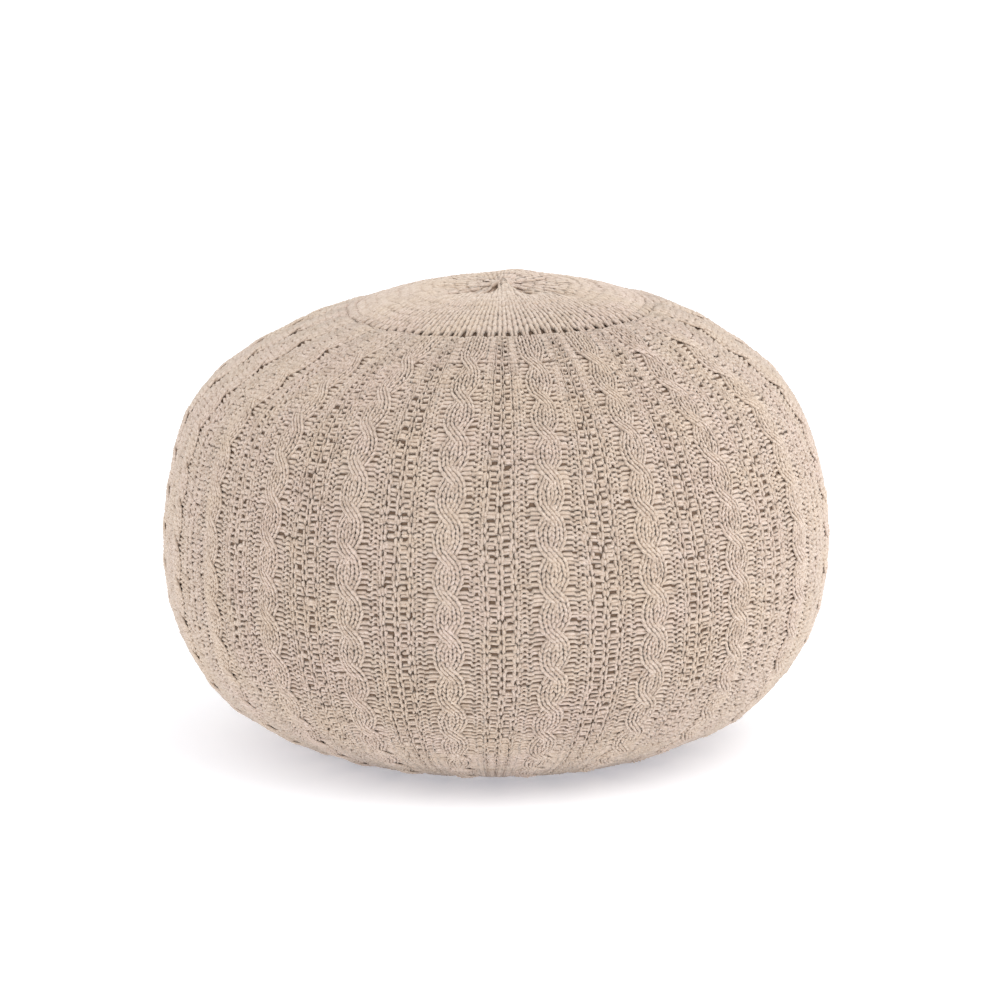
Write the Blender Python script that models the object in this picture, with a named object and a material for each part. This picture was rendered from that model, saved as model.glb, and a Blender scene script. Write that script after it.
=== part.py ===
"""Knitted pouf: one round, flat-based, filled cushion with 21 raised cables.

Metres, +Z up, standing on z = 0, with the front facing -Y. The whole pouf is one closed solid. Its
points are set in rings that climb from the edge of the flat base to the gathered middle of the crown.
"""
import bpy
import numpy as np

# Radius and height of the filled cover, from the edge of the flat base up to the middle of the crown
OUTLINE = (
    (0.1200, 0.0000),
    (0.1539, 0.0095),
    (0.2051, 0.0389),
    (0.2387, 0.0879),
    (0.2500, 0.1476),
    (0.2434, 0.2100),
    (0.2179, 0.2687),
    (0.1679, 0.3087),
    (0.1108, 0.3320),
    (0.0539, 0.3452),
    (0.0000, 0.3490),
)
GROUND_BELOW_OUTLINE = 0.0040
LEAN = 0.006
LEAN_LEVEL = 0.423

# Cables: 21 around, each with 15 crossings from the crown's seam down to the base
CABLES = 21
FIRST_CABLE_TURN = 0.80
UNEVEN_SPACING = 0.105
CABLE_HALF_WIDTH = 0.0115
CROSSING_HALF_WIDTH = 0.0090
FIRST_CROSSING_AT = 0.4240
CROSSING_PITCH = 0.0285
TOP_STRETCH = 0.0203
STATIONS_PER_CROSSING = 3
CROSSINGS_BELOW_FIRST = 14
FRONT_STRAND_HEIGHT = 0.0060
BACK_STRAND_HEIGHT = 0.0035
CROSSING_HEIGHT = 0.0065
CABLE_EDGE_DEPTH = 0.0010
PANEL_PUFF = 0.0008
RELIEF_FADES_OVER = 0.060

# The five columns of points of a repeat where there is no cable, as shares of the repeat
EVEN_COLUMNS = (-0.3, -0.1, 0.1, 0.3, 0.5)

# Crown: distance along the outline and how far the ring there stands off the outline
CROWN_RINGS = (
    (0.4690, -0.0030),
    (0.4735, -0.0005),
    (0.4870, 0.0010),
    (0.5050, -0.0010),
    (0.5125, 0.0005),
    (0.5330, 0.0010),
    (0.5520, 0.0005),
    (0.5680, -0.0025),
)
FOLDS = 7
FOLD_DEPTH = 0.0035
FOLDS_START_AT = 0.5050
FOLDS_FULL_AT = 0.5600
FOLD_TURN = 2.0
NUB_HEIGHT = 0.0005

YARN_COLOUR = (0.730, 0.597, 0.485, 1.0)
YARN_ROUGHNESS = 0.9


def clear_scene():
    for item in list(bpy.data.objects):
        bpy.data.objects.remove(item, do_unlink=True)


def smoothstep(value):
    value = min(max(value, 0.0), 1.0)
    return value * value * (3.0 - 2.0 * value)


def smooth_outline(knots, count=4000):
    """A smooth curve through the knots that ends level at the pole, with its running length."""
    knots = np.array(knots)
    chords = np.hypot(*np.diff(knots, axis=0).T)
    along = np.concatenate([[0.0], np.cumsum(chords)])
    slopes = np.zeros_like(knots)
    slopes[1:-1] = (knots[2:] - knots[:-2]) / (along[2:] - along[:-2])[:, None]
    slopes[0] = 2.0 * (knots[1] - knots[0]) / chords[0] - slopes[1]
    slopes[-1] = (-1.0, 0.0)
    steps = np.linspace(0.0, along[-1], count)
    piece = np.clip(np.searchsorted(along, steps) - 1, 0, len(knots) - 2)
    length = (along[piece + 1] - along[piece])[:, None]
    part = ((steps - along[piece]) / (along[piece + 1] - along[piece]))[:, None]
    points = (2 * part**3 - 3 * part**2 + 1) * knots[piece]
    points += (part**3 - 2 * part**2 + part) * length * slopes[piece]
    points += (3 * part**2 - 2 * part**3) * knots[piece + 1]
    points += (part**3 - part**2) * length * slopes[piece + 1]
    run = np.concatenate([[0.0], np.cumsum(np.hypot(*np.diff(points, axis=0).T))])
    return run, points


def outline_at(run, points, distance):
    """Radius, height and outward direction of the outline at a distance along it."""
    here = np.array([np.interp(distance, run, points[:, i]) for i in (0, 1)])
    ahead = np.array([np.interp(distance + 0.001, run, points[:, i]) for i in (0, 1)])
    behind = np.array([np.interp(distance - 0.001, run, points[:, i]) for i in (0, 1)])
    tangent = (ahead - behind) / np.linalg.norm(ahead - behind)
    return here[0], here[1], tangent[1], -tangent[0]


def crossing_distance(number):
    """Distance along the outline of a crossing; the stitches are stretched longer near the crown."""
    stretch = TOP_STRETCH * (1.0 - np.exp(-number / 2.0))
    return FIRST_CROSSING_AT - CROSSING_PITCH * number - stretch


def repeat_section(phase, radius):
    """One cable and half of each panel: sideways angle and height above the ground of the knit.

    Going down a cable, the strand on the left rises over the other one and ends on the right.
    """
    narrowing = 0.55 + 0.45 * radius / 0.25
    if phase == 0:
        half = CROSSING_HALF_WIDTH * narrowing
        left, right, spread = CROSSING_HEIGHT, CROSSING_HEIGHT, 0.35
    elif phase == 1:
        half = CABLE_HALF_WIDTH * narrowing
        left, right, spread = BACK_STRAND_HEIGHT, FRONT_STRAND_HEIGHT, 0.55
    else:
        half = CABLE_HALF_WIDTH * narrowing
        left, right, spread = FRONT_STRAND_HEIGHT, BACK_STRAND_HEIGHT, 0.55
    return (
        (-half / radius, -CABLE_EDGE_DEPTH),
        (-spread * half / radius, left),
        (spread * half / radius, right),
        (half / radius, -CABLE_EDGE_DEPTH),
        (np.pi / CABLES, PANEL_PUFF),
    )


def azimuth(cable, side_angle):
    """Angle from the front; the cables stand a little closer together on the left than on the right."""
    turn = 2.0 * np.pi / CABLES
    base = cable * turn - turn / 2.0 + np.radians(FIRST_CABLE_TURN) + side_angle
    return base + UNEVEN_SPACING * (1.0 - np.cos(base))


def place(radius, height, angle):
    lean = LEAN * (height / OUTLINE[-1][1] - LEAN_LEVEL)
    return (radius * np.sin(angle) + lean, -radius * np.cos(angle), max(height, 0.0))


def cable_rings(run, points):
    """The rings of points on the sides, from the floor up to the crown's seam."""
    rings = []
    steps = (CROSSINGS_BELOW_FIRST + 1) * STATIONS_PER_CROSSING
    for step in range(steps + 1):
        number = CROSSINGS_BELOW_FIRST - step / STATIONS_PER_CROSSING
        phase = (-step) % STATIONS_PER_CROSSING
        distance = crossing_distance(number)
        radius, height, out_r, out_z = outline_at(run, points, distance)
        fade = smoothstep(distance / RELIEF_FADES_OVER)
        ring = []
        for cable in range(CABLES):
            for side_angle, lift in repeat_section(phase, radius):
                offset = lift * fade - GROUND_BELOW_OUTLINE * smoothstep(distance / 0.01)
                z = max(height + out_z * offset, 0.0010)
                ring.append(place(radius + out_r * offset, z, azimuth(cable, side_angle)))
        rings.append(ring)
    return rings


def crown_rings(run, points):
    """The rings of points on the crown, inwards from its seam, with the folds of the gathering."""
    rings = []
    for distance, offset in CROWN_RINGS:
        radius, height, out_r, out_z = outline_at(run, points, distance)
        depth = FOLD_DEPTH * smoothstep((distance - FOLDS_START_AT) / (FOLDS_FULL_AT - FOLDS_START_AT))
        ring = []
        for cable in range(CABLES):
            for part in EVEN_COLUMNS:
                angle = azimuth(cable, part * 2.0 * np.pi / CABLES)
                lift = offset + depth * np.cos(FOLDS * (angle - np.radians(FOLD_TURN)))
                ring.append(place(radius + out_r * lift, height + out_z * lift, angle))
        rings.append(ring)
    return rings


def build_cover():
    run, points = smooth_outline(OUTLINE)
    base_ring = []
    for cable in range(CABLES):
        for part in EVEN_COLUMNS:
            base_ring.append(place(OUTLINE[0][0], 0.0, azimuth(cable, part * 2.0 * np.pi / CABLES)))
    rings = [base_ring] + cable_rings(run, points) + crown_rings(run, points)
    count = len(base_ring)
    verts = [tuple(float(v) for v in point) for ring in rings for point in ring]
    faces = [tuple(reversed(range(count)))]
    for row in range(len(rings) - 1):
        for i in range(count):
            j = (i + 1) % count
            faces.append((row * count + i, row * count + j, (row + 1) * count + j, (row + 1) * count + i))
    pole = len(verts)
    verts.append(tuple(float(v) for v in place(0.0, OUTLINE[-1][1] + NUB_HEIGHT, 0.0)))
    last = (len(rings) - 1) * count
    for i in range(count):
        faces.append((last + i, last + (i + 1) % count, pole))
    mesh = bpy.data.meshes.new("pouf")
    mesh.from_pydata(verts, [], faces)
    mesh.validate()
    return mesh


def yarn_material():
    material = bpy.data.materials.new("melange_yarn_knit")
    material.use_nodes = True
    shader = material.node_tree.nodes["Principled BSDF"]
    shader.inputs["Base Color"].default_value = YARN_COLOUR
    shader.inputs["Roughness"].default_value = YARN_ROUGHNESS
    return material


clear_scene()
pouf = bpy.data.objects.new("pouf", build_cover())
bpy.context.scene.collection.objects.link(pouf)
pouf.data.materials.append(yarn_material())
for face in pouf.data.polygons:
    face.use_smooth = len(face.vertices) < 5
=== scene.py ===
"""Round filled pouf in a cable-knit cover of melange yarn, on a plain pale floor.

The cover is made of its yarn: each leg or bar of a stitch that shows is a short closed length of yarn,
set over a backing that stands for the inner side of the knit. Metres, +Z up, the front faces -Y.
A place on the cover is given by its turn from the front and its distance up the outline, which is 0 at
the edge of the flat base, below 0 on the base itself and 0.58 in the middle of the crown.
"""

import bpy
import numpy as np
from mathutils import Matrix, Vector


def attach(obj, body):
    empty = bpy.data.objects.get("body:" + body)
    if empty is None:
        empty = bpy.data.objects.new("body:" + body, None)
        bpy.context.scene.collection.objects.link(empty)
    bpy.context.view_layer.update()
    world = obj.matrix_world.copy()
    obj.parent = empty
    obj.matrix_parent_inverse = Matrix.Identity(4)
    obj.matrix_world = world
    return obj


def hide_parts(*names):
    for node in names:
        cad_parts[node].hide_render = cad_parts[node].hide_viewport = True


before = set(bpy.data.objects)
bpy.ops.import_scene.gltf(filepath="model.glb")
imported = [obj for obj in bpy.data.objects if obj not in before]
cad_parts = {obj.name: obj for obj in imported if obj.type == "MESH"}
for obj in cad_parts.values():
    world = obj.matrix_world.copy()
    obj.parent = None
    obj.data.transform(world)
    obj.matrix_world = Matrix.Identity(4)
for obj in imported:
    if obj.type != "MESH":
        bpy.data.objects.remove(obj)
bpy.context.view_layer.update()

# The filled body and the inner side of the knit
# A bag of loose filling gives the round, flat-based shape, and the cover is stretched over it like a
# stocking. Between the stitches one sees the back of the same yarn, whose shade is painted into its
# colour.

OUTLINE = (
    (0.1200, 0.0000),
    (0.1539, 0.0095),
    (0.2051, 0.0389),
    (0.2387, 0.0879),
    (0.2500, 0.1476),
    (0.2434, 0.2100),
    (0.2179, 0.2687),
    (0.1679, 0.3087),
    (0.1108, 0.3320),
    (0.0539, 0.3452),
    (0.0000, 0.3490),
)
BASE_RADIUS = OUTLINE[0][0]
EQUATOR_RADIUS = 0.25
HEIGHT = OUTLINE[-1][1]
LEAN = 0.006
LEAN_LEVEL = 0.423
FLOOR_CLEARANCE = 0.0005
UNEVEN_SPACING = 0.105
BASE_STEPS = 60

# The crown rises a little to the right from TILT_FROM up the outline, and the side bulges a little more
# on the left around SWELL_AT
CROWN_TILT = 0.021
TILT_FROM = 0.38
TILT_OVER = 0.08
LEFT_SWELL = 0.0052
SWELL_AT = 0.325
SWELL_REACH = 0.04

# Distance up the outline and how far the backing stands off it there
BACKING = (
    (-0.1200, -0.0035),
    (0.0020, -0.0035),
    (0.0100, -0.0040),
    (0.4000, -0.0040),
    (0.4350, -0.0031),
    (0.4580, -0.0027),
    (0.4655, -0.0042),
    (0.4710, -0.0040),
    (0.4760, -0.0028),
    (0.4870, -0.0016),
    (0.5030, -0.0010),
    (0.5085, -0.0026),
    (0.5150, -0.0006),
    (0.5330, 0.0002),
    (0.5520, -0.0006),
    (0.5680, -0.0022),
    (0.5817, -0.0020),
)

# Folds and hollows of the gathered middle: turn from the front and half width in degrees, rise, and
# the distances from the middle where the rise is greatest and where it has faded out
FOLDS = (
    (9.0, 13.0, 0.0058, 0.016, 0.062),
    (-26.0, 14.0, -0.0170, 0.018, 0.044),
    (-56.0, 12.0, -0.0070, 0.032, 0.062),
    (32.0, 12.0, -0.0080, 0.028, 0.055),
    (60.0, 9.0, -0.0045, 0.048, 0.080),
    (88.0, 12.0, -0.0045, 0.030, 0.060),
    (122.0, 11.0, -0.0060, 0.028, 0.060),
    (165.0, 22.0, 0.0035, 0.036, 0.075),
    (192.0, 9.0, -0.0050, 0.030, 0.050),
    (222.0, 12.0, -0.0060, 0.030, 0.062),
    (272.0, 12.0, -0.0055, 0.030, 0.058),
)


def smoothstep(value):
    value = np.clip(value, 0.0, 1.0)
    return value * value * (3.0 - 2.0 * value)


def smooth_outline(knots, count=4000):
    """A smooth curve through the knots that ends level at the pole, with its running length."""
    knots = np.array(knots)
    chords = np.hypot(*np.diff(knots, axis=0).T)
    along = np.concatenate([[0.0], np.cumsum(chords)])
    slopes = np.zeros_like(knots)
    slopes[1:-1] = (knots[2:] - knots[:-2]) / (along[2:] - along[:-2])[:, None]
    slopes[0] = 2.0 * (knots[1] - knots[0]) / chords[0] - slopes[1]
    slopes[-1] = (-1.0, 0.0)
    steps = np.linspace(0.0, along[-1], count)
    piece = np.clip(np.searchsorted(along, steps) - 1, 0, len(knots) - 2)
    length = (along[piece + 1] - along[piece])[:, None]
    part = ((steps - along[piece]) / (along[piece + 1] - along[piece]))[:, None]
    points = (2 * part**3 - 3 * part**2 + 1) * knots[piece]
    points += (part**3 - 2 * part**2 + part) * length * slopes[piece]
    points += (3 * part**2 - 2 * part**3) * knots[piece + 1]
    points += (part**3 - part**2) * length * slopes[piece + 1]
    run = np.concatenate([[0.0], np.cumsum(np.hypot(*np.diff(points, axis=0).T))])
    return run, points


CABLES = 21
TURN = 2.0 * np.pi / CABLES
FIRST_CABLE_DEGREES = 0.8
FIRST_CABLE = np.radians(FIRST_CABLE_DEGREES) - TURN / 2.0
HALF_CABLE = 0.0119
CABLE_TAPER = 0.45
NARROWEST_RADIUS = 0.03

# Under a cable the inner side of the knit is lifted by MOUND over this share of the cable's width,
# except near the floor and at the top of the side
MOUND = 0.0012
MOUND_SHARE = 0.75
MOUND_FULL_FROM = 0.035
MOUND_ENDS_AT = 0.455
MOUND_ENDS_OVER = 0.01

# The cover is pulled on by hand, so its cables don't climb quite straight: how many degrees each one,
# counted from the front, strays sideways at these distances up the outline
STRAY_AT = (0.10, 0.16, 0.22, 0.28, 0.34, 0.385, 0.47)
STRAY = {
    -4: (0.0, 0.0, -0.4, -1.4, -2.2, -1.8, 0.0),
    -3: (0.0, 0.0, -0.7, -2.2, -3.2, -3.0, 0.0),
    -2: (0.0, -0.2, -1.0, -1.9, -2.7, -3.0, 0.0),
    -1: (0.0, -0.2, -0.9, -1.6, -1.9, -2.8, 0.0),
    0: (0.0, 0.1, 0.0, -0.8, -0.7, -0.6, 0.0),
    1: (0.0, 0.5, 0.1, -0.3, -0.2, 0.1, 0.0),
    2: (0.0, 0.6, 0.3, -1.1, -1.2, -1.0, 0.0),
    3: (0.0, 0.0, -0.4, -1.3, -2.6, -2.8, 0.0),
    4: (0.0, 0.0, 0.0, -0.4, -1.0, -1.0, 0.0),
    7: (0.0, 0.3, 0.8, 1.2, 0.8, 0.3, 0.0),
    8: (0.0, 0.2, 0.5, 1.4, 1.6, 1.0, 0.0),
    11: (0.0, -0.3, -0.8, -1.0, -0.4, 0.0, 0.0),
    14: (0.0, 0.0, 0.6, 1.1, 1.5, 1.2, 0.0),
}
STRAY_STEPS = 1200

# The knit also ripples, sideways in radians and upwards in metres: how far, and how many radians its
# waves go on in a radian around the pouf and in a metre up
SIDE_RIPPLE = 0.0020
SIDE_AROUND = 10.0
SIDE_UP = 31.0
BROAD_RIPPLE = 0.0011
BROAD_AROUND = 4.0
BROAD_START = 1.0
FINE_RIPPLE = 0.0008
FINE_AROUND = 13.0
FINE_UP = 22.0
RIPPLE_FADES_LOW = 0.06
RIPPLE_FADES_HIGH = 0.08

run, outline = smooth_outline(OUTLINE)
base_run = np.linspace(-BASE_RADIUS, 0.0, BASE_STEPS, endpoint=False)
run = np.concatenate([base_run, run])
flat_base = np.stack([base_run + BASE_RADIUS, np.zeros(BASE_STEPS)], axis=-1)
outline = np.vstack([flat_base, outline])
tangent = np.gradient(outline, run, axis=0)
backing_at, backing_offset = np.array(BACKING).T


def radius_at(distance):
    return np.interp(distance, run, outline[:, 0])


stray_run = np.linspace(0.0, run[-1], STRAY_STEPS)
stray_turn = np.zeros((CABLES, len(stray_run)))
for stray_cable, stray_degrees in STRAY.items():
    stray_turn[stray_cable % CABLES] = np.radians(np.interp(stray_run, STRAY_AT, stray_degrees))


def strayed(turn, distance):
    """Where a place of the even pattern ends up: beside it by the cables' stray and a ripple."""
    steady = smoothstep(distance / RIPPLE_FADES_LOW)
    steady = steady * smoothstep((run[-1] - distance) / RIPPLE_FADES_HIGH)
    position = (turn - FIRST_CABLE) / TURN
    before = np.floor(position).astype(int)
    part = position - before
    last = STRAY_STEPS - 1
    level = np.clip(np.round(distance / run[-1] * last), 0, last).astype(int)
    sideways = (1.0 - part) * stray_turn[before % CABLES, level]
    sideways = sideways + part * stray_turn[(before + 1) % CABLES, level]
    sideways = sideways + steady * SIDE_RIPPLE * np.sin(SIDE_AROUND * turn - SIDE_UP * distance)
    upward = BROAD_RIPPLE * np.sin(BROAD_AROUND * turn + BROAD_START)
    upward = upward + FINE_RIPPLE * np.sin(FINE_AROUND * turn + FINE_UP * distance)
    return turn + sideways, distance + steady * upward


def gathered(angle, distance):
    """Height of the folds into which the drawn-up thread pulls the middle of the crown."""
    inward = run[-1] - distance
    height = np.zeros_like(inward)
    for turn, half_width, rise, strongest, faded in FOLDS:
        away = (angle - np.radians(turn) + np.pi) % (2.0 * np.pi) - np.pi
        across = np.exp(-((away / np.radians(half_width)) ** 2))
        along = smoothstep(inward / strongest) * smoothstep((faded - inward) / (faded - strongest))
        height = height + rise * across * along
    return height


def on_cover(turn, distance, lift):
    """Points for a turn from the front, a distance up the outline and a height off the backing."""
    turn, distance, lift = np.broadcast_arrays(turn, distance, lift)
    turn, distance = strayed(turn, distance)
    angle = turn + UNEVEN_SPACING * (1.0 - np.cos(turn))
    out_r = np.interp(distance, run, tangent[:, 1])
    out_z = -np.interp(distance, run, tangent[:, 0])
    off = lift + np.interp(distance, backing_at, backing_offset) + gathered(angle, distance)
    bulge = np.exp(-(((distance - SWELL_AT) / SWELL_REACH) ** 2))
    swell = LEFT_SWELL * bulge * np.clip(-np.sin(angle), 0.0, 1.0) ** 2
    radius = radius_at(distance) + out_r * off + swell
    level = np.interp(distance, run, outline[:, 1]) + out_z * off
    level = level + CROWN_TILT * radius * np.sin(angle) * smoothstep((distance - TILT_FROM) / TILT_OVER)
    level = np.maximum(level, FLOOR_CLEARANCE)
    side = LEAN * (level / HEIGHT - LEAN_LEVEL)
    return np.stack([radius * np.sin(angle) + side, -radius * np.cos(angle), level], axis=-1)


def half_cable_turn(distance):
    """Half the width of a cable as a turn; the knit is drawn in where the pouf is slimmer."""
    radius = np.maximum(radius_at(distance), NARROWEST_RADIUS)
    return HALF_CABLE * (1.0 - CABLE_TAPER + CABLE_TAPER * radius / EQUATOR_RADIUS) / radius


def cable_mound(turn, distance):
    """The strands are bulkier than the rest, which lifts the inner side of the knit under them."""
    around = (turn - FIRST_CABLE) / TURN
    across = (around - np.round(around)) * TURN / (MOUND_SHARE * half_cable_turn(distance))
    faded = smoothstep(distance / MOUND_FULL_FROM)
    faded = faded * smoothstep((MOUND_ENDS_AT - distance) / MOUND_ENDS_OVER)
    return MOUND * np.clip(1.0 - across**4, 0.0, 1.0) * faded


def linear(code):
    """A colour as Blender wants it, from an sRGB hex code."""
    parts = [int(code[i:i + 2], 16) / 255.0 for i in (1, 3, 5)]
    return [v / 12.92 if v <= 0.04045 else ((v + 0.055) / 1.055) ** 2.4 for v in parts] + [1.0]


def add_node(tree, kind, settings, links):
    """Adds a node, sets its properties and input values by name, and links its inputs."""
    new = tree.nodes.new(kind)
    for name, value in settings.items():
        if name in new.inputs:
            new.inputs[name].default_value = value
        else:
            setattr(new, name, value)
    for name, source in links.items():
        tree.links.new(source, new.inputs[name])
    return new


def new_material(name):
    material = bpy.data.materials.new(name)
    material.use_nodes = True
    material.node_tree.nodes.clear()
    return material, material.node_tree


def yarn_in_painted_shade_material():
    # Acrylic and cotton melange yarn seen from behind, fuzzy and matt; its colour is painted darker to
    # stand for the shade that falls between the stitches
    material, tree = new_material("melange_yarn_inner_side_painted_shade")
    place = add_node(tree, "ShaderNodeTexCoord", {}, {})
    # fibre tufts of about 2 mm
    fibres = add_node(tree, "ShaderNodeTexNoise", {"Scale": 420.0, "Detail": 3.0},
                      {"Vector": place.outputs["Object"]})
    colour = add_node(tree, "ShaderNodeMix", {"data_type": "RGBA"}, {"Factor": fibres.outputs["Fac"]})
    colour.inputs[6].default_value = linear("#5A4637")
    colour.inputs[7].default_value = linear("#826C5A")
    bump = add_node(tree, "ShaderNodeBump", {"Strength": 0.5, "Distance": 0.0006},
                    {"Height": fibres.outputs["Fac"]})
    shader = add_node(tree, "ShaderNodeBsdfPrincipled", {"Roughness": 0.95, "IOR": 1.5},
                      {"Base Color": colour.outputs[2], "Normal": bump.outputs["Normal"]})
    add_node(tree, "ShaderNodeOutputMaterial", {}, {"Surface": shader.outputs["BSDF"]})
    return material


# The plies come round so many times in a centimetre of yarn and add this much to the fibres' relief
PLY_TURNS_PER_CM = 3.8
PLY_RELIEF = 0.30
ONE_TURN = 6.2832


def melange_yarn_material():
    # Thick spun acrylic and cotton yarn, three plies, dyed as loose fibre in near shades of beige:
    # the eye gets a matt, slightly fuzzy thread with faint slanting plies and uneven tone
    material, tree = new_material("melange_yarn_spun_three_ply")
    place = add_node(tree, "ShaderNodeTexCoord", {}, {})
    # the dye lots drift from yellowish to pinkish over about 4 cm
    drift = add_node(tree, "ShaderNodeTexNoise", {"Scale": 25.0, "Detail": 2.0},
                     {"Vector": place.outputs["Object"]})
    tint = add_node(tree, "ShaderNodeValToRGB", {}, {"Fac": drift.outputs["Fac"]})
    shades = tint.color_ramp.elements
    shades[0].position = 0.36
    shades[0].color = linear("#DFCDBC")
    shades[1].position = 0.64
    shades[1].color = linear("#DFCCC1")
    middle = shades.new(0.5)
    middle.color = linear("#DECDC0")
    # lighter and darker fibres lie in patches of 1 to 3 mm
    fibres = add_node(tree, "ShaderNodeTexNoise", {"Scale": 420.0, "Detail": 3.0, "Roughness": 0.65},
                      {"Vector": place.outputs["Object"]})
    depth = add_node(tree, "ShaderNodeMapRange",
                     {"From Min": 0.66, "From Max": 0.34, "To Min": 0.0, "To Max": 0.75},
                     {"Value": fibres.outputs["Fac"]})
    colour = add_node(tree, "ShaderNodeMix", {"data_type": "RGBA"}, {"Factor": depth.outputs["Result"]})
    tree.links.new(tint.outputs["Color"], colour.inputs[6])
    colour.inputs[7].default_value = linear("#BDA690")
    # a darker length of thread of 5 to 10 mm turns up here and there
    lengths = add_node(tree, "ShaderNodeTexNoise", {"Scale": 130.0, "Detail": 2.0, "Roughness": 0.6},
                       {"Vector": place.outputs["Object"]})
    dark_share = add_node(tree, "ShaderNodeMapRange",
                          {"From Min": 0.50, "From Max": 0.72, "To Min": 0.0, "To Max": 0.55},
                          {"Value": lengths.outputs["Fac"]})
    mottled = add_node(tree, "ShaderNodeMix", {"data_type": "RGBA"},
                       {"Factor": dark_share.outputs["Result"]})
    tree.links.new(colour.outputs[2], mottled.inputs[6])
    mottled.inputs[7].default_value = linear("#AD9785")
    twist = add_node(tree, "ShaderNodeUVMap", {"uv_map": "Twist"}, {})
    parts = add_node(tree, "ShaderNodeSeparateXYZ", {}, {"Vector": twist.outputs["UV"]})
    # the map counts centimetres along the yarn, so a ply comes round every 2.6 mm
    turns = add_node(tree, "ShaderNodeMath", {"operation": "MULTIPLY_ADD"},
                     {0: parts.outputs["Y"], 2: parts.outputs["X"]})
    turns.inputs[1].default_value = PLY_TURNS_PER_CM
    wave = add_node(tree, "ShaderNodeMath", {"operation": "MULTIPLY"}, {0: turns.outputs[0]})
    wave.inputs[1].default_value = ONE_TURN
    plies = add_node(tree, "ShaderNodeMath", {"operation": "SINE"}, {0: wave.outputs[0]})
    relief = add_node(tree, "ShaderNodeMath", {"operation": "MULTIPLY_ADD"},
                      {0: plies.outputs[0], 2: fibres.outputs["Fac"]})
    relief.inputs[1].default_value = PLY_RELIEF
    bump = add_node(tree, "ShaderNodeBump", {"Strength": 0.5, "Distance": 0.0004},
                    {"Height": relief.outputs[0]})
    shader = add_node(tree, "ShaderNodeBsdfPrincipled",
                      {"Roughness": 0.9, "IOR": 1.5, "Sheen Weight": 0.5, "Sheen Roughness": 0.6,
                       "Sheen Tint": linear("#F8EEE3")},
                      {"Base Color": mottled.outputs[2], "Normal": bump.outputs["Normal"]})
    add_node(tree, "ShaderNodeOutputMaterial", {}, {"Surface": shader.outputs["BSDF"]})
    return material


# From here to its middle the crown is so dense that no shade shows between its stitches
INNER_CROWN_FROM = 0.512
AROUND = CABLES * 12
# Stretches of the backing's rings of points: first distance, last distance and number of rings
BACKING_RINGS = ((-0.1190, -0.0040, 16), (0.0000, 0.4600, 90), (0.4630, 0.5807, 44))


def backing_piece():
    """One closed skin from the middle of the flat base up to the middle of the crown."""
    distances = np.concatenate([np.linspace(first, last, count) for first, last, count in BACKING_RINGS])
    turns = np.linspace(0.0, 2.0 * np.pi, AROUND, endpoint=False)
    lift = cable_mound(turns[None, :], distances[:, None])
    rings = on_cover(turns[None, :], distances[:, None], lift)
    ends = on_cover(0.0, np.array([run[0], run[-1]]), 0.0)
    verts = np.vstack([rings.reshape(-1, 3), ends])
    low, top = len(verts) - 2, len(verts) - 1
    last = (len(distances) - 1) * AROUND
    faces = []
    for row in range(0, last, AROUND):
        for i in range(AROUND):
            j = (i + 1) % AROUND
            faces.append((row + i, row + j, row + AROUND + j, row + AROUND + i))
    for i in range(AROUND):
        j = (i + 1) % AROUND
        faces.append((low, j, i))
        faces.append((last + i, last + j, top))
    mesh = bpy.data.meshes.new("filled_body")
    mesh.from_pydata([tuple(v) for v in verts.tolist()], [], faces)
    mesh.shade_smooth()
    # the backing has painted shade, but the inner crown has the yarn's own colour; every second end face
    # lies there
    inner_crown = np.searchsorted(distances, INNER_CROWN_FROM) - 1
    slots = np.zeros(len(faces), dtype=int)
    slots[inner_crown * AROUND:last] = 1
    slots[last + 1::2] = 1
    mesh.materials.append(yarn_in_painted_shade_material())
    mesh.materials.append(yarn)
    mesh.polygons.foreach_set("material_index", slots)
    piece = bpy.data.objects.new("filled_body", mesh)
    bpy.context.scene.collection.objects.link(piece)
    return piece


yarn = melange_yarn_material()
body = backing_piece()
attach(body, "root")
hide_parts("pouf")

# The cables
# Each of the 21 cables is two strands of two plain wales, knitted in the same yarn. Every eight rows
# the left strand is knitted over the right one, so it runs in front from upper left to lower right.

# Where the topmost crossing is, the pitch of those below it and how much taller the topmost rows add up
# to be; the first and last row are counted in crossings down from the topmost one
FIRST_CROSSING_AT = 0.4240
CROSSING_PITCH = 0.0285
TOP_STRETCH = 0.0203
ROWS_PER_CROSSING = 8
TOP_AT_CROSSING = -0.95
LAST_AT_CROSSING = 14.1
yarn_chance = np.random.default_rng(7)


def crossing_distance(number):
    """Distance up the outline of a crossing; the rows are stretched taller near the crown."""
    return FIRST_CROSSING_AT - CROSSING_PITCH * number - TOP_STRETCH * (1.0 - np.exp(-number / 2.0))


def row_height(number):
    """Height of one row in metres at a place counted in crossings."""
    return crossing_distance(number) - crossing_distance(number + 1.0 / ROWS_PER_CROSSING)


stitch_rows = np.arange(TOP_AT_CROSSING + 0.5 / ROWS_PER_CROSSING, LAST_AT_CROSSING,
                        1.0 / ROWS_PER_CROSSING)


def every(*choices):
    """One entry for every combination of the choices, as flat arrays of the same length."""
    return [values.reshape(-1) for values in np.meshgrid(*choices, indexing="ij")]


# The under side of a length of yarn lies this share of its thickness below the yarn's line
UNDERSIDE = 0.80
POINTS_EACH = 8
TRIANGLES_EACH = 12
# Half the step over which the cover's directions are measured, and the least radius for one around
PROBE = 0.001
PROBE_RADIUS = 0.004
NEARLY_ZERO = 1e-12
# Where the two rings lie along a length on its maps, and the free edge around its square
LOWER_RING = 0.33
UPPER_RING = 0.67
SQUARE_EDGE = 0.04
TWIST_UNITS_PER_METRE = 100.0


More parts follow.
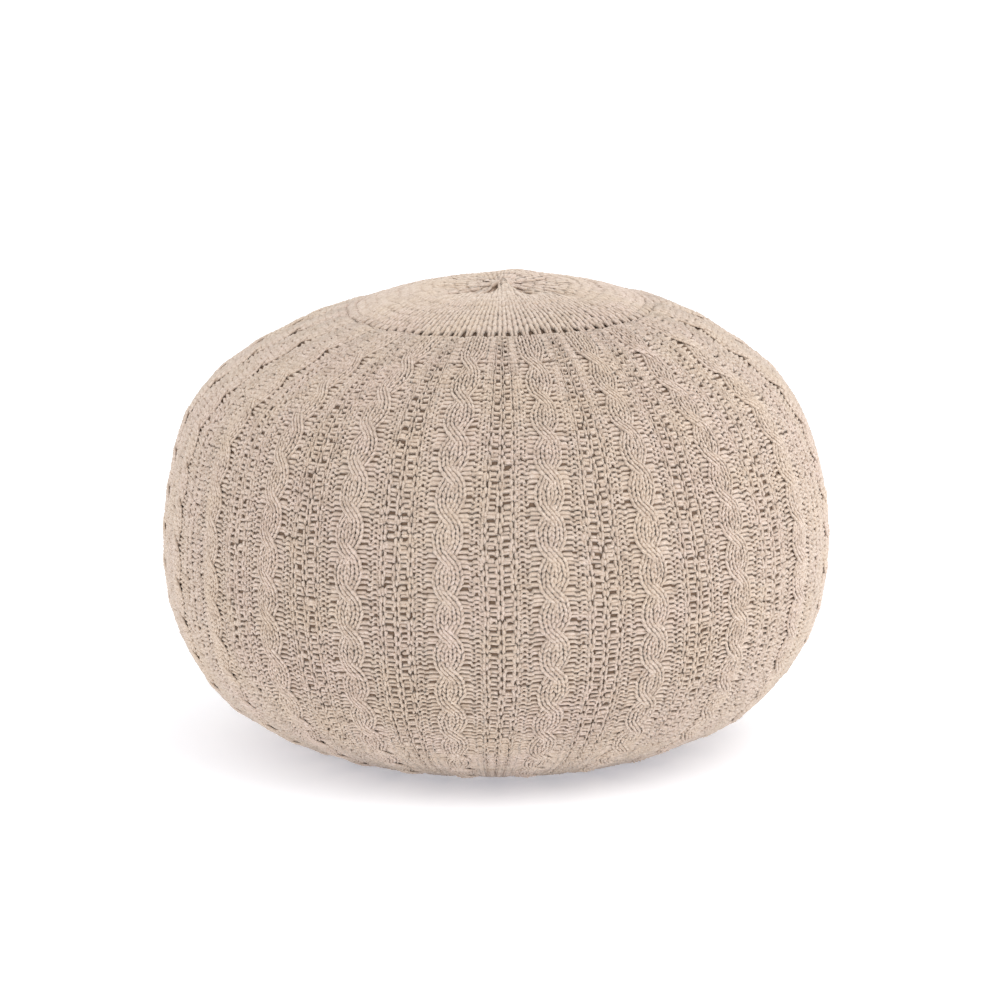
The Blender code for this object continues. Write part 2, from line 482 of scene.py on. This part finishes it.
def yarn_lengths(name, turn, distance, lift, half_width, thickness, material):
    """Many short lengths of yarn as one mesh, each with two tips and two three-sided rings between.

    turn, distance and lift hold four stations a length; half_width and thickness one value a length.
    """
    count = len(turn)
    centre = on_cover(turn, distance, lift)
    aside = PROBE / np.maximum(radius_at(distance), PROBE_RADIUS)
    across = on_cover(turn + aside, distance, lift) - on_cover(turn - aside, distance, lift)
    upward = on_cover(turn, distance + PROBE, lift) - on_cover(turn, distance - PROBE, lift)
    outer = np.cross(across, upward)
    outer /= np.maximum(np.linalg.norm(outer, axis=-1, keepdims=True), NEARLY_ZERO)
    along = np.stack([centre[:, 2] - centre[:, 0], centre[:, 3] - centre[:, 1]], axis=1)
    along /= np.linalg.norm(along, axis=-1, keepdims=True)
    sideways = np.cross(along, outer[:, 1:3])
    sideways /= np.linalg.norm(sideways, axis=-1, keepdims=True)
    wide = half_width[:, None, None]
    thick = thickness[:, None, None]
    rings = centre[:, 1:3]
    left = rings + sideways * wide - outer[:, 1:3] * thick * UNDERSIDE
    crest = rings + outer[:, 1:3] * thick
    right = rings - sideways * wide - outer[:, 1:3] * thick * UNDERSIDE
    verts = np.stack([centre[:, 0], left[:, 0], crest[:, 0], right[:, 0],
                      left[:, 1], crest[:, 1], right[:, 1], centre[:, 3]], axis=1)
    verts[..., 2] = np.maximum(verts[..., 2], FLOOR_CLEARANCE)
    side_faces = []
    side_uvs = []
    for k in range(3):
        a, b = k, (k + 1) % 3
        u0, u1 = k / 3.0, (k + 1) / 3.0
        middle = (u0 + u1) / 2.0
        side_faces += [(0, 1 + b, 1 + a), (1 + a, 1 + b, 4 + b), (1 + a, 4 + b, 4 + a), (4 + a, 4 + b, 7)]
        side_uvs += [(middle, 0.0), (u1, LOWER_RING), (u0, LOWER_RING),
                     (u0, LOWER_RING), (u1, LOWER_RING), (u1, UPPER_RING),
                     (u0, LOWER_RING), (u1, UPPER_RING), (u0, UPPER_RING),
                     (u0, UPPER_RING), (u1, UPPER_RING), (middle, 1.0)]
    faces = np.array(side_faces)[None] + POINTS_EACH * np.arange(count)[:, None, None]
    triangles = count * TRIANGLES_EACH
    mesh = bpy.data.meshes.new(name)
    mesh.vertices.add(count * POINTS_EACH)
    mesh.vertices.foreach_set("co", verts.reshape(-1))
    mesh.loops.add(triangles * 3)
    mesh.loops.foreach_set("vertex_index", faces.reshape(-1))
    mesh.polygons.add(triangles)
    mesh.polygons.foreach_set("loop_start", np.arange(triangles) * 3)
    mesh.update(calc_edges=True)
    # on the first map every length has a square of its own
    spread = int(np.ceil(np.sqrt(count)))
    corner = np.stack([np.arange(count) % spread, np.arange(count) // spread], axis=-1)
    local = np.array(side_uvs)
    flat = mesh.uv_layers.new(name="OFBake")
    flat_uv = (corner[:, None] + SQUARE_EDGE + (1.0 - 2.0 * SQUARE_EDGE) * local[None]) / spread
    flat.data.foreach_set("uv", flat_uv.reshape(-1))
    # the second one goes around and along the yarn and carries its plies
    twist = mesh.uv_layers.new(name="Twist")
    size = np.linalg.norm(centre[:, 3] - centre[:, 0], axis=-1)
    start = yarn_chance.uniform(0.0, 1.0, count)
    twist_u = np.broadcast_to(local[None, :, 0], (count, len(local)))
    twist_v = local[None, :, 1] * size[:, None] * TWIST_UNITS_PER_METRE + start[:, None]
    twist.data.foreach_set("uv", np.stack([twist_u, twist_v], axis=-1).reshape(-1))
    mesh.shade_smooth()
    piece = bpy.data.objects.new(name, mesh)
    bpy.context.scene.collection.objects.link(piece)
    piece.data.materials.append(material)
    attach(piece, "root")
    return piece


# A leg of a plain stitch runs from 0.9 row above its own row's middle to 0.9 row below. At these four
# stations it lies so much higher or lower, and so far from the middle of its wale.
STATION = np.array([-0.90, -0.32, 0.32, 0.90])
LEG_TIPS = np.array([-0.0008, 0.0002, 0.0, -0.0007])
LEG_SPLAY = np.array([0.42, 0.33, 0.17, 0.06])
# A strand swings across within this share of the pitch above and below a crossing, where the cable is
# drawn in and its legs lie evenly
FRONT_ZONE = 0.27
BACK_ZONE = 0.50
STRAND_NARROWS = 0.19
TIGHT_SPLAY = 0.25
# Lift in the middle of the cable, fall towards its edges, and what a crossing adds or takes away
LOBE_HEIGHT = 0.0025
LOBE_ROUND = 0.0015
FRONT_RISE = 0.0007
BACK_DIP = 0.0008
LEG_HALF_WIDTH = 0.00158
LOBE_LEGS_THINNER = 0.10
LEG_THICKNESS = 0.0009
# The legs are slimmer where the pouf is, and are pressed flatter near the floor
SLIMMEST = 0.62
LIFT_AT_FLOOR = 0.3
FULL_LIFT_FROM = 0.035
# How much the legs differ by chance
LEG_SWAYS = 0.03
LEG_SHIFTS = 0.00025
LEG_RISES = 0.00012
LEG_WIDTH_VARIES = 0.06


def cable_strand(front):
    """Legs of the strand that goes in front at each crossing, or of the one that goes behind."""
    cable, row, wale, side = every(np.arange(CABLES), stitch_rows, (-0.5, 0.5), (-1, 1))
    # there is no crossing at the crown's seam, where the strands start side by side
    unit = np.floor(row + 0.5)[:, None]
    number = row[:, None] + STATION / ROWS_PER_CROSSING
    zone = FRONT_ZONE if front else BACK_ZONE
    swung = np.where(unit < 0, 1.0, np.clip((number - unit) / (2.0 * zone) + 0.5, 0.0, 1.0))
    way = 1.0 if front else -1.0
    path = way * (2.0 * smoothstep(swung) - 1.0)
    distance = crossing_distance(number)
    half_turn = half_cable_turn(distance)
    pitch = row_height(number) * ROWS_PER_CROSSING
    # sideways run for each metre down, from the slope of the smooth swing
    slant = 6.0 * swung * (1.0 - swung) / zone * half_turn * radius_at(distance) / 2.0 / pitch
    near = np.where(unit < 0, 0.0, np.cos(np.pi * number) ** 2)
    splay = LEG_SPLAY + (TIGHT_SPLAY - LEG_SPLAY) * near**2
    across = path + (wale[:, None] + side[:, None] * splay) * np.sqrt(1.0 + slant**2)
    across = across * (1.0 - STRAND_NARROWS * near)
    jitter = yarn_chance.normal(0.0, 1.0, (4, len(row)))
    swayed = across + LEG_SWAYS * jitter[3][:, None]
    turn = FIRST_CABLE + cable[:, None] * TURN + swayed * half_turn / 2.0
    change = FRONT_RISE if front else -BACK_DIP
    lift = LOBE_HEIGHT + change * near**2 - LOBE_ROUND * (across / 2.0) ** 2
    pressed = LIFT_AT_FLOOR + (1.0 - LIFT_AT_FLOOR) * smoothstep(distance / FULL_LIFT_FROM)
    lift = lift * pressed + LEG_TIPS
    distance = distance + LEG_SHIFTS * jitter[0][:, None]
    lift = lift + LEG_RISES * jitter[1][:, None]
    narrowing = SLIMMEST + (1.0 - SLIMMEST) * radius_at(distance[:, 1]) / EQUATOR_RADIUS
    bulk = 1.0 - LOBE_LEGS_THINNER * (1.0 - near[:, 1])
    half_width = LEG_HALF_WIDTH * narrowing * bulk * (1.0 + LEG_WIDTH_VARIES * jitter[2])
    thickness = np.full(len(row), LEG_THICKNESS)
    name = "cable_strands_front" if front else "cable_strands_back"
    return yarn_lengths(name, turn, distance, lift, half_width, thickness, yarn)


cable_strand(True)
cable_strand(False)

# The reverse wales
# On each side of a cable two wales are knitted inside out. Their loops show as wavy bars of yarn that
# lie across the wale, one a row, with dark slits under the crests and over the troughs.

# The pair of wales takes this share of a panel, and each of its bars is drawn as four bends in turn
REVERSE_SHARE = 0.241
BENDS = 4
# Stations along a bar's high bend and its low bend, in quarters of the pair of wales, and how many
# rows they lie below the row's middle
HIGH_BEND = np.array([-1.15, -0.40, 0.40, 1.15])
HIGH_LEVEL = np.array([0.55, -0.27, -0.27, 0.55])
LOW_BEND = np.array([-0.95, -0.32, 0.32, 0.95])
LOW_LEVEL = np.array([-0.50, 0.27, 0.27, -0.50])
# The first bend reaches under the cable and is fuller, and no bend reaches past the last step
FIRST_REACHES = np.array([1.70, 0.85, 0.15, 0.0])
FIRST_FULLER = 1.10
LAST_STEP = 4.6
# Half the width of a bar as a share of the row's height, and the most that it may be in metres
BAR_HALF_WIDTH = 0.455
THICKEST = 0.0025
BAR_THICKNESS = 0.0011
BAR_LIFT = 0.0009
HIGH_BEND_RISES = 0.0002
BAR_TIPS = np.array([-0.0001, 0.0, 0.0, -0.0001])
# By the cable the bars lie lower. Beside a crossing they are also flatter, pulled in by a share of the
# cable's half width and drawn together.
SUNK_BY_CABLE = 0.0007
FLATTER_BY_CABLE = 0.6
PULLED_IN = 0.45
DRAWN_TOGETHER = 0.14
# The stitches close up by this share towards the crown, where the side is gathered in
CLOSES_BY = 0.16
CLOSES_FROM = 0.30
CLOSES_OVER = 0.10
# How much the bars differ by chance
WAVE_VARIES = 0.15
ROW_UNEVEN = 0.05
BAR_SHIFTS = 0.08
BAR_RISES = 0.0002
BAR_WIDTH_VARIES = 0.10


def fuller(distance):
    """How much wider the bars are where the stitches close up towards the crown."""
    return 1.0 + CLOSES_BY * smoothstep((distance - CLOSES_FROM) / CLOSES_OVER)


def panel_turn(cable, share, distance):
    """Turn of a place between two cables, from 0 at the left cable's edge to 1 at the next one's."""
    half = half_cable_turn(distance)
    return FIRST_CABLE + cable * TURN + half + share * (TURN - 2.0 * half)


def reverse_wales(left):
    cable, index, bend = every(np.arange(CABLES), np.arange(len(stitch_rows)), np.arange(BENDS))
    row = stitch_rows[index]
    is_high = (bend % 2 == 0)[:, None]
    # from 0 at the cable's edge to 4 at the ribs
    step = 1.0 + bend[:, None] + np.where(is_high, HIGH_BEND, LOW_BEND)
    step = step - np.where(bend[:, None] == 0, FIRST_REACHES, 0.0)
    step = np.minimum(step, LAST_STEP)
    share = step * REVERSE_SHARE / BENDS
    jitter = yarn_chance.normal(0.0, 1.0, (4, len(row)))
    uneven = yarn_chance.normal(0.0, 1.0, (CABLES, len(stitch_rows)))[cable, index]
    close = np.clip(1.0 - step / BENDS, 0.0, 1.0)
    near_row = np.where(row < -0.5, 0.0, np.cos(np.pi * row) ** 4)[:, None]
    wave = np.where(is_high, HIGH_LEVEL, LOW_LEVEL) * (1.0 + WAVE_VARIES * jitter[0][:, None])
    wave = wave * (1.0 - FLATTER_BY_CABLE * close * near_row)
    shift = ROW_UNEVEN * uneven + BAR_SHIFTS * jitter[1]
    number = row[:, None] + (wave + shift[:, None]) / ROWS_PER_CROSSING
    # the crossings pull the bars beside them in sideways and towards their own level
    near = np.where(number < -0.5, 0.0, np.cos(np.pi * number) ** 4)
    number = number - DRAWN_TOGETHER * close**2 * near * (number - np.floor(number + 0.5))
    distance = crossing_distance(number)
    pull = PULLED_IN * close**2 * near * half_cable_turn(distance)
    if not left:
        share, pull = 1.0 - share, -pull
    turn = panel_turn(cable[:, None], share, distance) - pull
    lift = BAR_LIFT + BAR_TIPS - SUNK_BY_CABLE * close**3 + BAR_RISES * jitter[2][:, None]
    lift = lift + np.where(is_high, HIGH_BEND_RISES, 0.0)
    half_width = BAR_HALF_WIDTH * row_height(row) * fuller(distance[:, 1])
    half_width = half_width * np.where(bend == 0, FIRST_FULLER, 1.0)
    half_width = np.minimum(half_width, THICKEST) * (1.0 + BAR_WIDTH_VARIES * jitter[3])
    thickness = np.full(len(row), BAR_THICKNESS)
    name = "reverse_wales_left" if left else "reverse_wales_right"
    return yarn_lengths(name, turn, distance, lift, half_width, thickness, yarn)


reverse_wales(True)
reverse_wales(False)

# The ribs in the middle of each panel
# Three plain wales stand up as ribs with a slit down their middle every second row, the middle rib a
# row later than its neighbours. The two wales between them change face every row, which leaves light
# bars in turn: one that stops short of the middle rib and one that reaches both ribs.

# Places of the ribs and of the wales between them across a panel, and the width of one, as shares
RIB_SHARES = np.array([0.293, 0.500, 0.707])
BUMP_SHARES = np.array([0.3965, 0.6035])
RIB_WALE = 0.1036
# Distance of a leg's stations from the middle of its rib, in wales, without and with a slit
CLOSED_SPLAY = np.array([0.24, 0.21, 0.21, 0.24])
OPEN_SPLAY = np.array([0.24, 0.37, 0.37, 0.24])
CLOSED_BELOW = -1.6
RIB_HALF_WIDTH = 0.29
RIB_THICKNESS = 0.0011
RIB_LIFT = 0.0012
RIB_ROW_UNEVEN = 0.18
RIB_SWAYS = 0.10
RIB_SPLAY_VARIES = 0.02
RIB_SHIFTS = 0.0002
RIB_WIDTH_VARIES = 0.08
LIFT_VARIES = 0.00015
# Stations along a bar in wales from the middle of its own, how they bow down in rows, and how many rows
# below the start of their pair the bars lie
SHORT_BAR = np.array([-0.90, -0.50, 0.28, 0.47])
LONG_BAR = np.array([-1.00, -0.50, 0.50, 1.00])
BAR_BOW = np.array([0.22, -0.10, -0.10, 0.22])
SHORT_BAR_AT = 0.55
LONG_BAR_AT = 1.55
BAR_LEANS = 0.10
BUMP_HALF_WIDTH = 0.455
BUMP_THICKNESS = 0.0012
SHORT_BAR_LIFT = 0.0011
LONG_BAR_LIFT = 0.0008
DEEPER_TIPS = 4.0
TURNED_SHARE = 0.25
BUMP_LENGTH_VARIES = 0.16
BUMP_LEVEL_VARIES = 0.16
BUMP_BOW_VARIES = 0.8
BUMP_WIDTH_VARIES = 0.13


def rib_wale_width(distance):
    """Width in metres of one wale in the middle of a panel."""
    return RIB_WALE * (TURN - 2.0 * half_cable_turn(distance)) * radius_at(distance)


def plain_ribs():
    choices = np.arange(CABLES), np.arange(len(stitch_rows)), np.arange(3), (-1, 1)
    cable, index, rib, side = every(*choices)
    row = stitch_rows[index]
    jitter = yarn_chance.normal(0.0, 1.0, (4, len(row)))
    uneven = yarn_chance.normal(0.0, 1.0, (CABLES, len(stitch_rows), 3))[cable, index, rib]
    number = row[:, None] + (STATION + RIB_ROW_UNEVEN * uneven[:, None]) / ROWS_PER_CROSSING
    opened = ((index + (rib == 1)) % 2 == 1) & (uneven > CLOSED_BELOW)
    splay = np.where(opened[:, None], OPEN_SPLAY, CLOSED_SPLAY)
    splay = splay + RIB_SPLAY_VARIES * jitter[0][:, None]
    aside = side[:, None] * splay + RIB_SWAYS * uneven[:, None]
    share = RIB_SHARES[rib][:, None] + RIB_WALE * aside
    distance = crossing_distance(number) + RIB_SHIFTS * jitter[1][:, None]
    turn = panel_turn(cable[:, None], share, distance)
    lift = RIB_LIFT + LEG_TIPS + LIFT_VARIES * jitter[2][:, None]
    half_width = RIB_HALF_WIDTH * rib_wale_width(distance[:, 1])
    half_width = half_width * (1.0 + RIB_WIDTH_VARIES * jitter[3])
    thickness = np.full(len(row), RIB_THICKNESS)
    return yarn_lengths("plain_ribs", turn, distance, lift, half_width, thickness, yarn)


def bumped_wales():
    starts = np.arange(-1, len(stitch_rows) - 1, 2)
    cable, index, wale, short = every(np.arange(CABLES), starts, (0, 1), (0, 1))
    row = stitch_rows[0] + index / ROWS_PER_CROSSING
    jitter = yarn_chance.normal(0.0, 1.0, (5, len(row)))
    # most short bars stop beside the middle rib, and one in four beside the outer one
    inward = np.where(yarn_chance.uniform(0.0, 1.0, len(row)) < TURNED_SHARE, -1.0, 1.0)
    way = (np.where(wale == 0, 1.0, -1.0) * np.where(short == 1, inward, 1.0))[:, None]
    is_short = short[:, None] == 1
    longer = 1.0 + BUMP_LENGTH_VARIES * jitter[0][:, None]
    along = np.where(is_short, SHORT_BAR, LONG_BAR) * longer
    share = BUMP_SHARES[wale][:, None] + way * RIB_WALE * along
    phase = np.where(is_short, SHORT_BAR_AT, LONG_BAR_AT) + BAR_LEANS * along
    phase = phase + BUMP_LEVEL_VARIES * jitter[1][:, None]
    phase = phase + BAR_BOW * (1.0 + BUMP_BOW_VARIES * jitter[4][:, None])
    distance = crossing_distance(row[:, None] + phase / ROWS_PER_CROSSING)
    turn = panel_turn(cable[:, None], share, distance)
    lift = np.where(is_short, SHORT_BAR_LIFT, LONG_BAR_LIFT) + DEEPER_TIPS * BAR_TIPS
    lift = lift + LIFT_VARIES * jitter[2][:, None]
    half_width = BUMP_HALF_WIDTH * row_height(row) * fuller(distance[:, 1])
    half_width = np.minimum(half_width, THICKEST) * (1.0 + BUMP_WIDTH_VARIES * jitter[3])
    thickness = np.full(len(row), BUMP_THICKNESS)
    return yarn_lengths("bumped_wales", turn, distance, lift, half_width, thickness, yarn)


plain_ribs()
bumped_wales()

# The crown and the flat base
# Above a row of large open holes the side is gathered in and 84 plain wales run to the middle, fewer
# after each round of decreases. The base, which is hidden, is finished the same way.

CROWN_WALES = 84
CROWN_ROW = 0.0084
END_MARGIN = 0.0003
# Distance of the first row, where the rows end, and how many wales there are between
CROWN_BANDS = ((0.4752, 0.5290, 84), (0.5340, 0.5560, 42), (0.5610, 0.5790, 21))
BASE_BANDS = ((-0.1130, -0.0940, 21), (-0.0900, -0.0620, 42), (-0.0580, 0.0020, 84))
PLAIN_SPLAY = np.array([0.37, 0.30, 0.20, 0.12])
PLAIN_LIFT = 0.0012
# Half the width of a leg in wales, with what it gains where the crown gets dense, and its limits
PLAIN_FULLNESS = 0.30
PLAIN_GAINS = 0.12
DENSE_FROM = 0.495
PLAIN_WIDEST = 1.3 * THICKEST
PLAIN_THICKNESS = 0.0010
PLAIN_THICK_SHARE = 0.40
# Further in, the knit is drawn together so tightly that it looks smooth
FLATTENS_BY = 0.6
FLATTENS_FROM = 0.505
DENSER_OVER = 0.03
PLAIN_SHIFTS = 0.0003
PLAIN_SPLAY_VARIES = 0.02
PLAIN_WIDTH_VARIES = 0.06


def plain_wales(name, bands):
    """Plain V stitches in rounds, in bands that each have their own number of wales."""
    stations = [[], [], [], [], []]
    for first, last, wales in bands:
        wale, at, side = every(np.arange(wales), np.arange(first, last, CROWN_ROW), (-1, 1))
        jitter = yarn_chance.normal(0.0, 1.0, (5, len(at)))
        distance = at[:, None] - CROWN_ROW * STATION + PLAIN_SHIFTS * jitter[0][:, None]
        distance = np.clip(distance, run[0] + END_MARGIN, run[-1] - END_MARGIN)
        splay = PLAIN_SPLAY + PLAIN_SPLAY_VARIES * jitter[1][:, None]
        around = wale[:, None] + side[:, None] * splay
        fullness = PLAIN_FULLNESS + PLAIN_GAINS * smoothstep((at - DENSE_FROM) / DENSER_OVER)
        flatter = 1.0 - FLATTENS_BY * smoothstep((at - FLATTENS_FROM) / DENSER_OVER)
        half_width = np.minimum(fullness * 2.0 * np.pi * radius_at(at) / wales, PLAIN_WIDEST)
        stations[0].append(FIRST_CABLE + around * 2.0 * np.pi / wales)
        stations[1].append(distance)
        stations[2].append(PLAIN_LIFT * flatter[:, None] + LEG_TIPS + LIFT_VARIES * jitter[2][:, None])
        stations[3].append(half_width * (1.0 + PLAIN_WIDTH_VARIES * jitter[3]))
        stations[4].append(np.minimum(PLAIN_THICKNESS, half_width * PLAIN_THICK_SHARE) * flatter)
    return yarn_lengths(name, *[np.concatenate(values) for values in stations], yarn)


# A post between two holes has two legs: their distances, splay in wales and lift at four stations
POST_FROM = 0.4625
POST_TO = 0.4740
POST_SPLAY = np.array([0.24, 0.14, 0.15, 0.26])
POST_LIFT = np.array([0.0005, 0.0024, 0.0027, 0.0010])
POST_THICKNESS = 0.0012
POST_SWAYS = 0.03
POST_WIDTH_VARIES = 0.06
RING_HALF_WIDTH = 0.0015


def ring_posts():
    """The stretched loops that stand between the holes of the ring."""
    wale, side = every(np.arange(CROWN_WALES), (-1, 1))
    distance = np.broadcast_to(np.linspace(POST_FROM, POST_TO, 4), (len(wale), 4))
    jitter = yarn_chance.normal(0.0, 1.0, (2, len(wale)))
    around = wale[:, None] + side[:, None] * POST_SPLAY + POST_SWAYS * jitter[1][:, None]
    turn = FIRST_CABLE + around * 2.0 * np.pi / CROWN_WALES
    lift = np.broadcast_to(POST_LIFT, (len(wale), 4))
    half_width = RING_HALF_WIDTH * (1.0 + POST_WIDTH_VARIES * jitter[0])
    thickness = np.full(len(wale), POST_THICKNESS)
    return yarn_lengths("ring_posts", turn, distance, lift, half_width, thickness, yarn)


# A loop of the last round: where its stations lie along the round, in loops
EDGE_STATION = np.array([-0.25, 0.25, 0.75, 1.25])
EDGE_AT = 0.4638
EDGE_LIFT = 0.0014
EDGE_THICKNESS = 0.0011
EDGE_SHIFTS = 0.0011
EDGE_WIDTH_VARIES = 0.08


def ring_edge():
    """The last round of the side, whose loops lie flat along the row of holes."""
    place = np.arange(2 * CROWN_WALES)
    turn = (place[:, None] + EDGE_STATION) * np.pi / CROWN_WALES
    jitter = yarn_chance.normal(0.0, 1.0, (2, len(place)))
    distance = np.broadcast_to(EDGE_AT + EDGE_SHIFTS * jitter[0][:, None], turn.shape)
    lift = np.broadcast_to(EDGE_LIFT + DEEPER_TIPS * BAR_TIPS, turn.shape)
    half_width = RING_HALF_WIDTH * (1.0 + EDGE_WIDTH_VARIES * jitter[1])
    thickness = np.full(len(place), EDGE_THICKNESS)
    return yarn_lengths("ring_edge", turn, distance, lift, half_width, thickness, yarn)


ring_posts()
ring_edge()
plain_wales("crown_knit", CROWN_BANDS)
plain_wales("base_knit", BASE_BANDS)

# The drawn-up middle
# A thread through the last loops of the crown draws them into a small tuft, pale because it catches
# the light from above. It leans a little to the right of the front.

TUFT_LOOPS = 13
TUFT_REACH = 0.0100
TUFT_LEANS_TO = np.radians(9.0)
# The loops towards the front reach further out; a loop's stations in shares of its reach, and its lift
FRONT_LONGER = 1.1
FRONT_SPREAD = 0.35
TUFT_STATION = np.array([0.05, 0.35, 0.75, 1.30])
TUFT_LIFT = np.array([0.0002, 0.0018, 0.0017, 0.0000])
TUFT_HALF_WIDTH = 0.0024
TUFT_THICKNESS = 0.0009
TUFT_SWAYS = 0.08
TUFT_LENGTH_VARIES = 0.12
TUFT_RISES = 0.0002
TUFT_WIDTH_VARIES = 0.1


def gathered_tuft():
    """Thick loops that rise out of the middle and turn down into the crown."""
    loop = np.arange(TUFT_LOOPS)
    jitter = yarn_chance.normal(0.0, 1.0, (4, TUFT_LOOPS))
    away = (loop / TUFT_LOOPS * 2.0 * np.pi + np.pi) % (2.0 * np.pi) - np.pi
    swayed = TUFT_LEANS_TO + away + TUFT_SWAYS * jitter[0]
    turn = np.broadcast_to(swayed[:, None], (TUFT_LOOPS, 4))
    longer = 1.0 + FRONT_LONGER * np.exp(-((away / FRONT_SPREAD) ** 2))
    longer = longer + TUFT_LENGTH_VARIES * jitter[1]
    reach = (TUFT_REACH * longer)[:, None] * TUFT_STATION
    distance = run[-1] - reach
    lift = TUFT_LIFT + TUFT_RISES * jitter[2][:, None]
    half_width = TUFT_HALF_WIDTH * (1.0 + TUFT_WIDTH_VARIES * jitter[3])
    thickness = np.full(TUFT_LOOPS, TUFT_THICKNESS)
    return yarn_lengths("gathered_tuft", turn, distance, lift, half_width, thickness, yarn)


gathered_tuft()

# Floor, light and camera
# A white sweep under soft, even studio light from a little right of the camera, as in the photograph.


def white_floor_material():
    # Opal acrylic sheet, cast and sanded matt, lit a little from below: shadows on it stay pale
    material, tree = new_material("opal_acrylic_sanded_matt")
    shader = add_node(tree, "ShaderNodeBsdfPrincipled",
                      {"Base Color": linear("#FBFBFB"), "Roughness": 1.0, "Specular IOR Level": 0.0,
                       "Emission Color": linear("#EAF1FF"), "Emission Strength": 0.32}, {})
    add_node(tree, "ShaderNodeOutputMaterial", {}, {"Surface": shader.outputs["BSDF"]})
    return material


FLOOR_REACH = 30.0
floor_mesh = bpy.data.meshes.new("studio_floor")
floor_mesh.from_pydata([(-FLOOR_REACH, -FLOOR_REACH, 0), (FLOOR_REACH, -FLOOR_REACH, 0),
                        (FLOOR_REACH, FLOOR_REACH, 0), (-FLOOR_REACH, FLOOR_REACH, 0)], [], [(0, 1, 2, 3)])
floor = bpy.data.objects.new("studio_floor", floor_mesh)
bpy.context.scene.collection.objects.link(floor)
floor.data.materials.append(white_floor_material())

world = bpy.data.worlds.new("white_studio")
world.use_nodes = True
background = world.node_tree.nodes["Background"]
background.inputs["Color"].default_value = (1.0, 1.0, 1.0, 1.0)
sky = add_node(world.node_tree, "ShaderNodeTexCoord", {}, {})
sky_parts = add_node(world.node_tree, "ShaderNodeSeparateXYZ", {}, {"Vector": sky.outputs["Generated"]})
# the walls of the white studio are brighter than its ceiling
dimming = add_node(world.node_tree, "ShaderNodeMapRange",
                   {"From Min": 0.1, "From Max": 0.9, "To Min": 1.22, "To Max": 0.73},
                   {"Value": sky_parts.outputs["Z"]})
world.node_tree.links.new(dimming.outputs["Result"], background.inputs["Strength"])
bpy.context.scene.world = world
bpy.context.scene.view_settings.view_transform = "Standard"

# Name, place, side in metres and power in watts of each soft box
SOFT_BOXES = (
    ("key_soft_box", (1.9, -1.7, 3.3), 3.0, 56.0),
    ("right_soft_box", (2.6, 0.4, 0.9), 1.5, 11.5),
    ("left_soft_box", (-2.6, 0.4, 0.9), 1.5, 11.0),
)
LIGHT_AIM = (0.0, 0.0, 0.15)


def soft_box(name, place, size, power):
    lamp = bpy.data.lights.new(name, "AREA")
    lamp.shape = "SQUARE"
    lamp.size = size
    lamp.energy = power
    holder = bpy.data.objects.new(name, lamp)
    holder.location = place
    holder.rotation_euler = (Vector(LIGHT_AIM) - Vector(place)).to_track_quat("-Z", "Y").to_euler()
    bpy.context.scene.collection.objects.link(holder)


for box_name, box_place, box_size, box_power in SOFT_BOXES:
    soft_box(box_name, box_place, box_size, box_power)

# The camera fitted to the photograph, whose focal length and shift are given in its 1000 pixels
CAMERA_ELEVATION = np.radians(13.35)
CAMERA_DISTANCE = 4.0
SENSOR_WIDTH = 36.0
AIM_LEVEL = 0.1227
FOCAL_PIXELS = 5318.5
RAISED_BY_PIXELS = 77.6
LEFT_BY_PIXELS = 4.0
FRAME_PIXELS = 1000.0

camera_data = bpy.data.cameras.new("camera")
camera_data.sensor_width = SENSOR_WIDTH
camera_data.lens = FOCAL_PIXELS / FRAME_PIXELS * SENSOR_WIDTH
camera = bpy.data.objects.new("camera", camera_data)
bpy.context.scene.collection.objects.link(camera)
camera.location = (0.0, -CAMERA_DISTANCE * np.cos(CAMERA_ELEVATION),
                   AIM_LEVEL + CAMERA_DISTANCE * np.sin(CAMERA_ELEVATION))
pitch = CAMERA_ELEVATION - np.arctan(RAISED_BY_PIXELS / FOCAL_PIXELS)
yaw = np.arctan(LEFT_BY_PIXELS / FOCAL_PIXELS)
camera.rotation_euler = (np.pi / 2.0 - pitch, 0.0, -yaw)
bpy.context.scene.camera = camera
